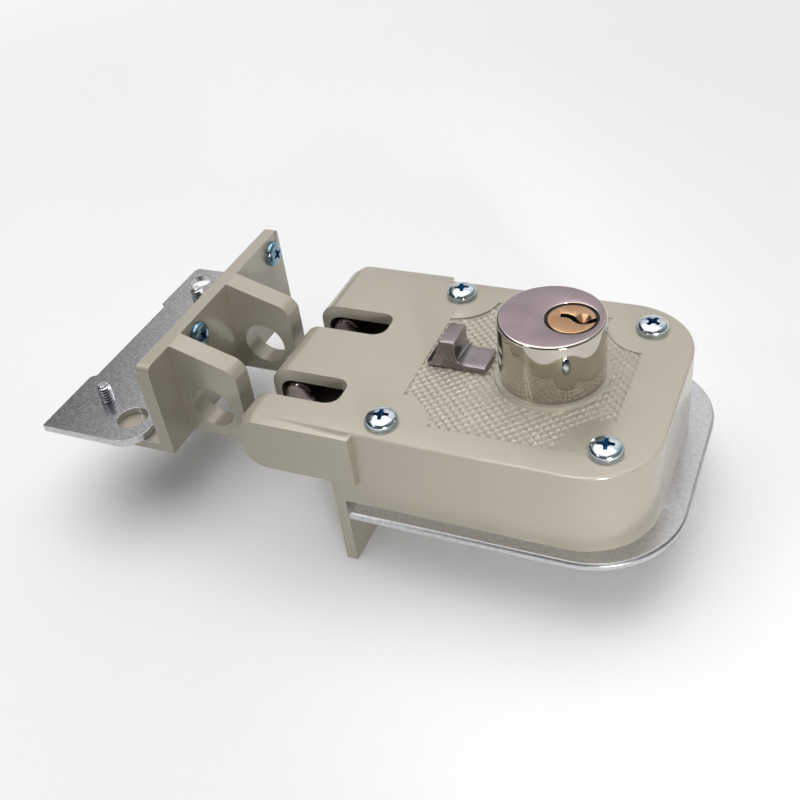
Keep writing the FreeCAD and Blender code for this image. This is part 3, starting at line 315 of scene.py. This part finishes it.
metals = {
    "polishedSteel": {"colours": ((0.52, 0.52, 0.53), (0.60, 0.60, 0.61)), "roughness": (0.28, 0.34),
                      "mottleSize": 900.0, "grainSize": 1600.0, "stretch": (1, 6, 1)},
    "strikeSteel": {"colours": ((0.46, 0.46, 0.47), (0.58, 0.58, 0.59)), "roughness": (0.20, 0.27),
                    "mottleSize": 1100.0, "grainSize": 1600.0, "depth": 0.000003},
    "brightZinc": {"colours": ((0.50, 0.60, 0.67), (0.72, 0.79, 0.84)), "roughness": (0.14, 0.22),
                   "mottleSize": 260.0},
    # bluish zinc of the strike screws, drawn darker than the case screws' zinc as painted shade for the
    # shaded upright they sit on
    "blueZincWithPaintedShade": {"colours": ((0.14, 0.26, 0.34), (0.30, 0.42, 0.50)), "roughness": (0.14, 0.24),
                 "mottleSize": 260.0},
    # painted shade: near-black blue zinc for the cross recesses of the screw heads
    "recessZincPaintedShade": {"colours": ((0.005, 0.06, 0.15), (0.03, 0.13, 0.26)), "roughness": (0.5, 0.6),
                   "mottleSize": 500.0},
    "threadZinc": {"colours": ((0.78, 0.80, 0.82), (0.88, 0.90, 0.92)), "roughness": (0.20, 0.28),
                   "mottleSize": 500.0},
    "mirrorChrome": {"colours": ((0.53, 0.48, 0.42), (0.59, 0.54, 0.48)), "roughness": (0.035, 0.07),
                     "mottleSize": 60.0, "grainSize": 500.0, "depth": 0.0000015},
    "satinChrome": {"colours": ((0.30, 0.235, 0.26), (0.36, 0.29, 0.31)), "roughness": (0.20, 0.30),
                    "mottleSize": 70.0, "depth": 0.000003},
    "plugBrass": {"colours": ((0.48, 0.28, 0.15), (0.58, 0.37, 0.22)), "roughness": (0.16, 0.28),
                  "mottleSize": 140.0},
    "slideNickel": {"colours": ((0.26, 0.235, 0.24), (0.32, 0.29, 0.295)), "roughness": (0.12, 0.20),
                    "mottleSize": 120.0, "depth": 0.0000015},
    # painted shade: the bolts' steel drawn near-black, as they show only down in the dark slots
    "boltSteelPaintedShade": {"colours": ((0.15, 0.12, 0.115), (0.22, 0.18, 0.17)), "roughness": (0.10, 0.18),
                  "mottleSize": 200.0},
    # near-black steel: the colour of the hidden works, and painted shade in the cylinder's gap, the keyway
    # and between the stud threads
    "worksSteelAndPaintedShade": {"colours": ((0.03, 0.03, 0.03), (0.08, 0.08, 0.08)), "roughness": (0.35, 0.5),
                  "mottleSize": 160.0},
    "pinBrass": {"colours": ((0.60, 0.46, 0.20), (0.78, 0.60, 0.30)), "roughness": (0.25, 0.4),
                 "mottleSize": 160.0},
}
glossRatio = 1.7  # size of the gloss mottle over that of the colour mottle


def makeMetal(name, colours, roughness, mottleSize, grainSize=900.0, stretch=(1, 1, 1), depth=0.000004):
    look, nodes, links, shader = newLook(name)
    shader.inputs["Metallic"].default_value = 1.0
    paintSurface(nodes, links, shader, colours, mottleSize, roughness, mottleSize * glossRatio)
    grain = addGroup(nodes, grainGroup, Size=grainSize, Stretch=stretch)
    addBump(nodes, links, shader, grain.outputs["Grain"], depth)
    return look


looks = {name: makeMetal(name, **values) for name, values in metals.items()}
looks["enamel"] = makeEnamel()
print("materials done")


# Hidden works keep their solids

hiddenLooks = {
    "worksSteelAndPaintedShade": ("cylinder_nut", "driver_springs", "detent_spring", "detent_rivet", "plug_clip", "cam",
                  "drive_pin", "carriage", "lock_plate"),
    "brightZinc": ("guide_screws", "guide_washers", "cam_screws", "slide_screw"),
    "mirrorChrome": ("chamber_plugs",),
    "pinBrass": ("driver_pins", "key_pins"),
}
for lookName, hiddenNodes in hiddenLooks.items():
    for node in hiddenNodes:
        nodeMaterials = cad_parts[node].data.materials
        nodeMaterials.clear()
        nodeMaterials.append(looks[lookName])
print("hidden works done")


# Castings, plates and bolts carry the solids' shapes with softened edges

softening = {"flat": 0.8, "corner": 30.0, "sharp": 35.0}  # degrees


def makeSoftened(name, node, body, look, width, segments=3):
    bm = copyOfNode(node)
    bmesh.ops.dissolve_limit(bm, angle_limit=math.radians(softening["flat"]), verts=bm.verts, edges=bm.edges)
    piece = finishPiece(name, bm, body, [looks[look]], softening["sharp"], node)
    bevel = piece.modifiers.new("soft", "BEVEL")
    bevel.width = width * mm
    bevel.segments = segments
    bevel.limit_method = "ANGLE"
    bevel.angle_limit = math.radians(softening["corner"])
    bevel.use_clamp_overlap = True
    bevel.harden_normals = True


makeSoftened("caseShell", "case", "lock_body", "enamel", 0.45)
makeSoftened("doorPlate", "mounting_plate", "lock_body", "polishedSteel", 0.15, 2)
makeSoftened("strikeBody", "strike_casting", "strike", "enamel", 0.5)
makeSoftened("strikeSteel", "strike_plate", "strike", "strikeSteel", 0.25)
# the bolts take their steel darkened as painted shade for the slots they sit in
makeSoftened("boltPair", "bolt_pins", "bolt_work", "boltSteelPaintedShade", 0.2)
print("castings and plates done")


# Diamond knurl in the panel

knurl = {
    "cells": 48,
    "diagonal": 2.79,
    "peak": (0.3, -15.9),
    "floor": 25.48,
    "height": 0.3,
    "tip": 0.2,
    "sides": (-37.0, 21.3),
    "half": 29.8,
    "ring": 15.4,
    "slot": (-35.0, -24.0, 2.9),
    "corners": ((-37.0, 29.8, 12.3), (21.3, 29.8, 11.6)),
    "overlap": 1.2,  # the outer cells run this far under the case's own edge
}


def offPanel(x, y):
    left, right = knurl["sides"]
    slotLeft, slotRight, slotHalf = knurl["slot"]
    over = knurl["overlap"]
    if x < left - over or x > right + over or abs(y) > knurl["half"] + over:
        return True
    if math.hypot(x, y) < knurl["ring"] or (slotLeft < x < slotRight and abs(y) < slotHalf):
        return True
    return any(math.hypot(x - cornerX, abs(y) - cornerY) < radius - over
               for cornerX, cornerY, radius in knurl["corners"])


def makeKnurl():
    bm = bmesh.new()
    cells, diagonal = knurl["cells"], knurl["diagonal"]
    pitch = diagonal / math.sqrt(2)
    bmesh.ops.create_grid(bm, x_segments=cells, y_segments=cells, size=pitch * cells / 2)
    turnAboutZ(bm, 45)
    peakX, peakY = knurl["peak"]
    bmesh.ops.translate(bm, verts=bm.verts, vec=(peakX, peakY % (diagonal / 2), rimZ + knurl["floor"]))
    outside = [face for face in bm.faces if offPanel(*face.calc_center_median().xy)]
    bmesh.ops.delete(bm, geom=outside, context="FACES")
    bmesh.ops.inset_individual(bm, faces=bm.faces[:], thickness=pitch / 2 - knurl["tip"],
                               depth=knurl["height"])
    finishPiece("knurledPanel", bm, "lock_body", [looks["enamel"]], 20.0)


makeKnurl()
print("knurl done")


# Key cylinder, with painted shade in the gap all round its plug

barrel = {
    "radius": 14.7,
    "seat": 27.2,
    "top": 45.7,
    "edge": 0.9,
    "neck": 13.6,
    "bottom": 20.6,
    "plugX": 5.5,
    "window": 7.25,
    "windowCut": 2.0,
    "recess": 0.45,
    "rim": 0.18,
    "bore": 6.56,
    "boreCut": 60.0,
}


def makeBarrel():
    b = barrel
    top = rimZ + b["top"]
    rounding = arcPoints(b["radius"] - b["edge"], top - b["edge"], b["edge"], 0, 90, 6)
    profile = [(0, rimZ + b["bottom"]), (b["neck"], rimZ + b["bottom"]), (b["neck"], rimZ + b["seat"]),
               (b["radius"], rimZ + b["seat"])] + rounding + [(0, top)]
    bm = bmesh.new()
    spinProfile(bm, profile, 160)
    piece = workPiece(bm)
    cutCone(piece, b["bore"], b["bore"], b["boreCut"], (b["plugX"], 0, b["boreCut"] / 2), 96)
    cutCone(piece, b["window"], b["window"], b["windowCut"],
            (b["plugX"], 0, top - b["recess"] + b["windowCut"] / 2), 96)
    bm = backToBmesh(piece)

    def onRim(vert):
        fromPlug = math.hypot(vert.co.x - b["plugX"], vert.co.y)
        return abs(vert.co.z - top) < touch and abs(fromPlug - b["window"]) < 0.05

    roundEdges(bm, [edge for edge in bm.edges if all(onRim(v) for v in edge.verts)], b["rim"], 2)
    # the walls and floor of the gap round the plug, and the bore below, take painted shade
    for face in bm.faces:
        middle = face.calc_center_median()
        fromPlug = math.hypot(middle.x - b["plugX"], middle.y)
        if face.normal.z > 0.98 and middle.z > top - 0.05:
            face.material_index = 1
        elif fromPlug < b["window"] + 0.02 and middle.z < top - 0.2:
            face.material_index = 2
    faceLooks = [looks["mirrorChrome"], looks["satinChrome"], looks["worksSteelAndPaintedShade"]]
    finishPiece("cylinderBarrel", bm, "lock_body", faceLooks, 30.0, "cylinder_housing")


makeBarrel()

plugSizes = {
    "x": 5.5,
    "radius": 6.5,
    "bottom": 18.6,
    "top": 45.55,
    "edge": 0.35,
    "lip": 0.12,
    "slotDepth": 20.0,
    "slotHalf": 0.8,
    "slotPath": ((-3.2, 0.9), (-1.6, 1.1), (-0.2, 0.7), (1.2, -0.4), (2.4, -1.0), (3.6, -0.9), (4.9, -0.2),
                 (6.6, 1.2)),
    "flareSpot": (2.9, 0.9),
    "flareRadius": 2.1,
    "flareDepth": 1.6,
}


def keywayOutline():
    p = plugSizes
    path = [Vector((p["x"] + x, y, 0)) for x, y in p["slotPath"]]
    last = len(path) - 1
    sides = []
    for i in range(len(path)):
        along = (path[min(i + 1, last)] - path[max(i - 1, 0)]).normalized()
        sides.append(Vector((-along.y, along.x, 0)) * p["slotHalf"])
    return [a - b for a, b in zip(path, sides)] + [a + b for a, b in zip(path[::-1], sides[::-1])]


def makePlug():
    p = plugSizes
    top = rimZ + p["top"]
    rounding = arcPoints(p["radius"] - p["edge"], top - p["edge"], p["edge"], 0, 90, 4)
    bm = bmesh.new()
    spinProfile(bm, [(0, rimZ + p["bottom"]), (p["radius"], rimZ + p["bottom"])] + rounding + [(0, top)],
                96, (p["x"], 0))
    piece = workPiece(bm)
    slot = bmesh.new()
    extrudeOutline(slot, [(v.x, v.y, top - p["slotDepth"]) for v in keywayOutline()],
                   (0, 0, p["slotDepth"] + 1))
    cutWith(piece, slot)
    flareX, flareY = p["flareSpot"]
    cutCone(piece, 0.1, p["flareRadius"], p["flareDepth"],
            (p["x"] + flareX, flareY, top - p["flareDepth"] / 2 + 0.02), 24)
    bm = backToBmesh(piece)

    def fromAxis(spot):
        return math.hypot(spot.x - p["x"], spot.y)

    lip = [edge for edge in bm.edges if all(abs(v.co.z - top) < touch for v in edge.verts)
           and fromAxis(edge.verts[0].co) < p["radius"] - p["edge"] - 0.1
           and len(edge.link_faces) == 2 and edge.calc_face_angle(0) > 1.0]
    roundEdges(bm, lip, p["lip"], 2)
    # the keyway's walls take the second look, painted shade inside the slot
    for face in bm.faces:
        middle = face.calc_center_median()
        if abs(face.normal.z) < 0.3 and fromAxis(middle) < p["radius"] - 0.1 and middle.z < top - 0.1:
            face.material_index = 1
    finishPiece("plugFace", bm, "key_plug", [looks["plugBrass"], looks["worksSteelAndPaintedShade"]], 30.0,
                "plug")


makePlug()
print("cylinder done")


# Screws with a domed head and a cross recess

def screwMesh(s):
    head, high, crown, deep = s["head"], s["high"], s["crown"], s["deep"]
    shank, length = s["shank"], s["length"]
    reachOfDome = head - s["roll"]

    def domeAt(radius):
        return high - crown * (radius / reachOfDome) ** 2

    roll = arcPoints(reachOfDome, high - crown - s["roll"], s["roll"], 0, 62, 7)
    crest = [(r, domeAt(r)) for r in (2.2, 1.6, 1.0, 0.5, 0.0)]
    profile = [(0, -length), (shank * 0.8, -length), (shank, 0.4 - length), (shank, 0),
               (head - 0.25, 0), (head, 0.25)] + roll + crest
    bm = bmesh.new()
    spinProfile(bm, profile, 56)
    piece = workPiece(bm)
    for turn in (0, 90):
        arm = boxAt((s["cross"] * 2, s["blade"], deep), (0, 0, high - deep / 2 + 0.01))
        low = [v for v in arm.verts if v.co.z < high - deep / 2]
        bmesh.ops.scale(arm, vec=(0.25, 0.7, 1), verts=low)
        turnAboutZ(arm, turn)
        cutWith(piece, arm)
    cutCone(piece, 0.15, s["blade"] * 1.05, deep, (0, 0, high - deep / 2 + 0.02), 24)
    bm = backToBmesh(piece)
    # faces down in the cross recess take the second look, painted shade
    for face in bm.faces:
        middle = face.calc_center_median()
        reach = math.hypot(middle.x, middle.y)
        under = domeAt(reach) - middle.z
        steep = face.normal.z < 0.88 and under > 0.02
        if reach < s["cross"] and middle.z > high - deep - 0.1 and (steep or under > 0.12):
            face.material_index = 1
    return bm


def addScrews(name, spots, sizes, facing, body, node, look):
    whole = bmesh.new()
    for position, turn in spots:
        one = screwMesh(sizes)
        turnAboutZ(one, turn)
        bmesh.ops.rotate(one, verts=one.verts, cent=(0, 0, 0), matrix=facing)
        bmesh.ops.translate(one, verts=one.verts, vec=position)
        mergeInto(whole, one)
    finishPiece(name, whole, body, [looks[look], looks["recessZincPaintedShade"]], 28.0, node)


caseScrews = {"head": 4.65, "high": 3.0, "crown": 0.35, "roll": 1.9, "shank": 2.4, "length": 28.4,
              "cross": 2.5, "blade": 1.2, "deep": 1.9}
caseTop = rimZ + 26
caseScrewSpots = (((-38.1, 31.4, caseTop), 20), ((21.5, 27.0, caseTop), 62),
                  ((-38.1, -31.4, caseTop), 12), ((21.5, -27.0, caseTop), 8))
addScrews("caseScrews", caseScrewSpots, caseScrews, Matrix.Identity(3), "lock_body",
          "case_screws", "brightZinc")

strikeScrews = {"head": 4.1, "high": 2.4, "crown": 0.3, "roll": 1.5, "shank": 2.2, "length": 4.3,
                "cross": 2.2, "blade": 1.0, "deep": 1.6}
strikeScrewSpots = (((-106.4, -13.2, rimZ + 30.4), 30), ((-106.4, 34.1, rimZ + 30.4), 15))
# the strike screws take the bluish zinc darkened as painted shade
addScrews("strikeScrews", strikeScrewSpots, strikeScrews, Matrix.Rotation(math.radians(90), 3, "Y"), "strike",
          "strike_screws", "blueZincWithPaintedShade")
print("screws done")


# Threaded studs of the strike

stud = {
    "radius": 2.1,
    "root": 1.5,
    "pitch": 1.0,
    "bottom": 4.0,
    "top": 15.9,
    "tip": 0.4,
    "head": 4.0,
    "headHigh": 1.6,
    "stepsATurn": 32,
    "spots": ((-137.2, -27.0), (-137.2, 28.9)),
}


def makeStuds():
    s = stud
    root, pitch = s["root"], s["pitch"]
    low, high = rimZ + s["bottom"], rimZ + s["top"]
    neck = low + s["headHigh"]
    profile = [(0, low), (s["head"], low), (s["head"], neck), (root, neck), (root, high - s["tip"]),
               (root - s["tip"], high), (0, high)]
    ridge = [(root - 0.05, 0.1), (s["radius"], 0.26), (s["radius"], 0.44), (root - 0.05, 0.6)]
    turns = int((s["top"] - s["bottom"] - s["headHigh"] - 1.0) / pitch)
    bm = bmesh.new()
    for x, y in s["spots"]:
        core = bmesh.new()
        spinProfile(core, profile, 40, (x, y))
        # the core's sides, between the thread ridges, take the second look, painted shade
        for face in core.faces:
            face.material_index = 1 if abs(face.normal.z) < 0.3 else 0
        verts = [core.verts.new((x + r, y, neck + 0.1 + z * pitch)) for r, z in ridge]
        edges = [core.edges.new(pair) for pair in zip(verts, verts[1:])]
        bmesh.ops.spin(core, geom=verts + edges, cent=(x, y, 0), axis=(0, 0, 1), angle=math.tau * turns,
                       steps=s["stepsATurn"] * turns, dvec=(0, 0, pitch / s["stepsATurn"]), use_merge=False)
        mergeInto(bm, core)
    finishPiece("strikeStuds", bm, "strike", [looks["threadZinc"], looks["worksSteelAndPaintedShade"]], 30.0,
                "stud_screws")


makeStuds()
print("studs done")


# Thumb slide

slide = {
    "front": -35.4,
    "tail": -17.9,
    "half": 4.9,
    "low": 26.1,
    "deck": 27.8,
    "crest": 35.1,
    "ridge": (4.3, 8.9),
    "soft": 0.3,
    "neckSize": (5.2, 5.2, 3.6),
    "neckSpot": (-27.0, 0, 24.7),
}


def makeSlide():
    s = slide
    front, low, deck, crest = s["front"], s["low"], s["deck"], s["crest"]
    ridgeStart, ridgeEnd = s["ridge"]
    sweep = arcPoints(front + 12.0, deck + 3.0, 3.0, 270, 184, 10)
    scoop = arcPoints(front + 0.5, deck + 2.2, 2.1, 355, 284, 8)
    outline = [(front, low), (s["tail"], low), (s["tail"], deck)] + sweep + [
        (front + ridgeEnd, crest), (front + ridgeStart, crest)] + scoop + [(front, deck - 0.1)]
    bm = bmesh.new()
    extrudeOutline(bm, [(x, -s["half"], rimZ + z) for x, z in outline], (0, 2 * s["half"], 0))
    crisp = [edge for edge in bm.edges if len(edge.link_faces) == 2
             and edge.calc_face_angle(0) > math.radians(40)]
    roundEdges(bm, crisp, s["soft"], 3)
    neckX, neckY, neckZ = s["neckSpot"]
    mergeInto(bm, boxAt(s["neckSize"], (neckX, neckY, rimZ + neckZ)))
    finishPiece("thumbSlide", bm, "slide_work", [looks["slideNickel"]], 30.0, "thumb_slide")


makeSlide()
print("slide done")


# Floor: pale to the camera and in mirrors, darker to scattered light, and fading out with distance

haze = (0.93, 0.93, 0.93)
floorSizes = {
    "half": 4.0,
    "gap": 0.0002,
    "colour": (0.98, 0.98, 0.98),
    "bounce": (0.13, 0.13, 0.125),
    "roughness": 0.85,
    "specular": 0.1,
    "away": (0.28, 0.75),
}


def makeFloor():
    bm = bmesh.new()
    bmesh.ops.create_grid(bm, x_segments=1, y_segments=1, size=floorSizes["half"])
    floor = addObject("floor", toMesh(bm, "floor"))
    floor.location = (0, 0, cadBounds[0][2] - floorSizes["gap"])
    look, nodes, links, shader = newLook("paleFloor")
    ray = nodes.new("ShaderNodeLightPath")
    seen = ray.outputs["Is Camera Ray"]
    for kind in ("Is Glossy Ray", "Is Transmission Ray"):
        seen = combine(nodes, links, "MAXIMUM", seen, ray.outputs[kind])
    links.new(blendColours(nodes, links, seen, floorSizes["bounce"], floorSizes["colour"]),
              shader.inputs["Base Color"])
    shader.inputs["Roughness"].default_value = floorSizes["roughness"]
    shader.inputs["Specular IOR Level"].default_value = floorSizes["specular"]
    place = nodes.new("ShaderNodeTexCoord")
    distance = nodes.new("ShaderNodeVectorMath")
    distance.operation = "LENGTH"
    links.new(place.outputs["Object"], distance.inputs[0])
    away = fade(nodes, links, distance.outputs["Value"], floorSizes["away"], "SMOOTHSTEP")
    pale = nodes.new("ShaderNodeEmission")
    pale.inputs["Color"].default_value = (*haze, 1)
    blend = nodes.new("ShaderNodeMixShader")
    links.new(combine(nodes, links, "MULTIPLY", away, seen), blend.inputs["Fac"])
    links.new(shader.outputs["BSDF"], blend.inputs[1])
    links.new(pale.outputs["Emission"], blend.inputs[2])
    links.new(blend.outputs["Shader"], nodes["Material Output"].inputs["Surface"])
    floor.data.materials.append(look)


makeFloor()


# Lamps, with power in watts and spread in degrees

lamps = {
    "keyLamp": {"place": (-0.16, 0.02, 0.95), "aim": (-0.04, 0.0, 0.02), "size": (1.20, 1.20),
                "power": 6.8, "spread": 180},
    "edgeLamp": {"place": (-0.50, -0.66, 0.60), "aim": (-0.06, -0.04, 0.02), "size": (0.18, 0.10),
                 "power": 0.5, "spread": 180},
    "sideLamp": {"place": (0.30, -0.40, 0.12), "aim": (0.018, -0.035, 0.01), "size": (0.12, 0.12),
                 "power": 0.045, "spread": 20},
}


def addLamp(name, place, aim, size, power, spread):
    data = bpy.data.lights.new(name, "AREA")
    data.shape = "RECTANGLE"
    data.size, data.size_y = size
    data.energy = power
    data.spread = math.radians(spread)
    lamp = addObject(name, data)
    lamp.location = place
    lamp.rotation_euler = (Vector(aim) - Vector(place)).to_track_quat("-Z", "Y").to_euler()


for lampName, lampValues in lamps.items():
    addLamp(lampName, **lampValues)


# Sky: shades from -X to +X, dimmer low down and in front, with a pale horizon

sky = {
    "across": (-1.0, 1.0, 0.0, 1.0),
    "shades": ((0.0, (0.10, 0.10, 0.105)), (0.188, (0.08, 0.08, 0.085)), (0.232, (0.88, 0.87, 0.88)),
               (0.38, (0.92, 0.90, 0.92)), (0.60, (0.97, 0.96, 0.97)), (0.76, (0.45, 0.45, 0.45)),
               (1.0, (0.28, 0.28, 0.28))),
    "rise": (0.0, 0.55, 0.30, 1.0),
    "front": (-0.8, 0.35, 0.08, 1.0),
    "horizon": (0.06, 0.16, 1.0, 0.0),
}


def makeWorld():
    world = bpy.data.worlds.new("studio")
    bpy.context.scene.world = world
    world.use_nodes = True
    nodes, links = world.node_tree.nodes, world.node_tree.links
    back = nodes["Background"]
    place = nodes.new("ShaderNodeTexCoord")
    split = nodes.new("ShaderNodeSeparateXYZ")
    links.new(place.outputs["Generated"], split.inputs["Vector"])
    ramp = nodes.new("ShaderNodeValToRGB")
    stops = ramp.color_ramp.elements
    while len(stops) < len(sky["shades"]):
        stops.new(0.5)
    for stop, (position, colour) in zip(stops, sky["shades"]):
        stop.position = position
        stop.color = (*colour, 1)
    links.new(fade(nodes, links, split.outputs["X"], sky["across"]), ramp.inputs["Fac"])
    horizon = fade(nodes, links, split.outputs["Z"], sky["horizon"])
    shade = nodes.new("ShaderNodeMix")
    shade.data_type = "RGBA"
    shade.inputs["B"].default_value = (*haze, 1)
    links.new(ramp.outputs["Color"], shade.inputs["A"])
    links.new(horizon, shade.inputs["Factor"])
    links.new(shade.outputs["Result"], back.inputs["Color"])
    rise = fade(nodes, links, split.outputs["Z"], sky["rise"])
    front = fade(nodes, links, split.outputs["Y"], sky["front"])
    light = combine(nodes, links, "MULTIPLY", rise, front)
    links.new(combine(nodes, links, "MAXIMUM", light, horizon), back.inputs["Strength"])


makeWorld()


# Camera, placed in millimetres above the rim plane and turned in degrees

view = {"place": (66.94, -216.81, 203.42), "turn": (50.988, 6.471, 22.777), "lens": 46.549}
cameraData = bpy.data.cameras.new("photoCamera")
cameraData.lens = view["lens"]
cameraData.sensor_width = 36.0
cameraData.clip_start = 0.01
camera = addObject("photoCamera", cameraData)
camera.location = Vector(view["place"]) * mm + Vector((0, 0, rimZ * mm))
camera.rotation_euler = [math.radians(a) for a in view["turn"]]
bpy.context.scene.camera = camera
bpy.context.scene.view_settings.view_transform = "Standard"
print("stage done")
